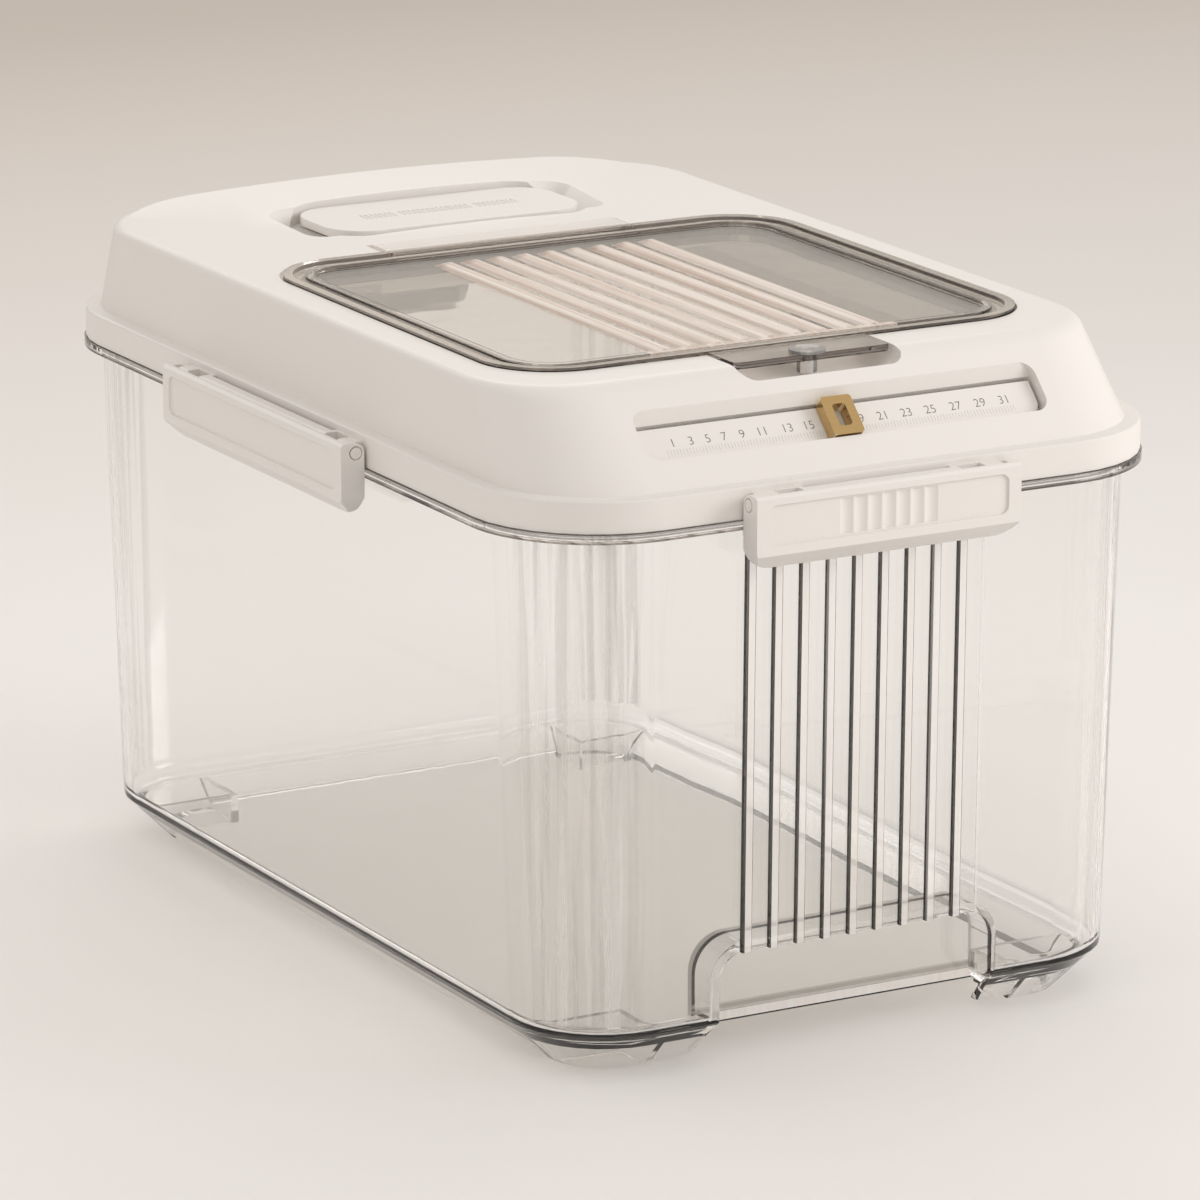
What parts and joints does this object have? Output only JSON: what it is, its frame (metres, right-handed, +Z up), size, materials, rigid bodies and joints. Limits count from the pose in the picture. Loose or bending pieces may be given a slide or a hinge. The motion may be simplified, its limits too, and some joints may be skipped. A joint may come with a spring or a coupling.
{
  "type": "rice bin with flip lid",
  "caption": "Clear rectangular storage bin with a white domed lid, a see-through flip lid, side latches, a date scale and a desiccant compartment.",
  "frame": {"origin": "centre of the footprint on the table, at the underside of the feet", "axes": "+X to the right across the width, +Y from the front (date scale and hand grip) to the back, +Z up"},
  "size_m": [0.2592, 0.3832, 0.2268],
  "materials": {
    "clear_plastic": "clear moulded plastic, gloss",
    "smoked_plastic": "smoked clear moulded plastic, gloss",
    "lid_plastic": "satin warm white moulded plastic",
    "gold_plastic": "satin gold coloured moulded plastic",
    "pale_silicone": "soft matt silicone",
    "dark_silicone": "soft matt silicone",
    "steel": "plain drawn wire"
  },
  "bodies": {
    "tub": {"tub": "clear_plastic"},
    "lid": {"lid_frame": "lid_plastic", "lid_seal": "pale_silicone", "hinge_pin_left": "steel", "hinge_pin_right": "steel", "scale_strip": "lid_plastic", "front_latch_pin_left": "lid_plastic", "front_latch_pin_right": "lid_plastic", "right_latch_pin_front": "lid_plastic", "right_latch_pin_rear": "lid_plastic", "back_latch_pin_right": "lid_plastic", "back_latch_pin_left": "lid_plastic", "left_latch_pin_rear": "lid_plastic", "left_latch_pin_front": "lid_plastic"},
    "flip_lid": {"flip_lid": "smoked_plastic", "flip_seal": "dark_silicone", "tab_bumper": "pale_silicone"},
    "marker": {"date_marker": "gold_plastic"},
    "cup": {"desiccant_cup": "lid_plastic"},
    "cover": {"desiccant_cover": "lid_plastic"},
    "latch_front": {"latch_front": "lid_plastic"},
    "latch_right": {"latch_right": "lid_plastic"},
    "latch_back": {"latch_back": "lid_plastic"},
    "latch_left": {"latch_left": "lid_plastic"}
  },
  "joints": [
    {"name": "lid_lift", "type": "slide", "parent": "tub", "child": "lid", "axis": [0, 0, 1], "range_m": [0, 0.06]},
    {"name": "flip_hinge", "type": "hinge", "parent": "lid", "child": "flip_lid", "pos_m": [0, 0.066, 0.2176], "axis": [-1, 0, 0], "range_deg": [0, 95]},
    {"name": "marker_slide", "type": "slide", "parent": "lid", "child": "marker", "axis": [1, 0, 0], "range_m": [-0.0565, 0.0595]},
    {"name": "cup_lift", "type": "slide", "parent": "lid", "child": "cup", "axis": [0, 0, 1], "range_m": [0, 0.03]},
    {"name": "cover_lift", "type": "slide", "parent": "cup", "child": "cover", "axis": [0, 0, 1], "range_m": [0, 0.015]},
    {"name": "front_latch", "type": "hinge", "parent": "lid", "child": "latch_front", "pos_m": [0, -0.1861, 0.1874], "axis": [-1, 0, 0], "range_deg": [0, 85]},
    {"name": "right_latch", "type": "hinge", "parent": "lid", "child": "latch_right", "pos_m": [0.1241, 0, 0.1874], "axis": [0, -1, 0], "range_deg": [0, 85]},
    {"name": "back_latch", "type": "hinge", "parent": "lid", "child": "latch_back", "pos_m": [0, 0.1861, 0.1874], "axis": [1, 0, 0], "range_deg": [0, 85]},
    {"name": "left_latch", "type": "hinge", "parent": "lid", "child": "latch_left", "pos_m": [-0.1241, 0, 0.1874], "axis": [0, 1, 0], "range_deg": [0, 85]}
  ]
}
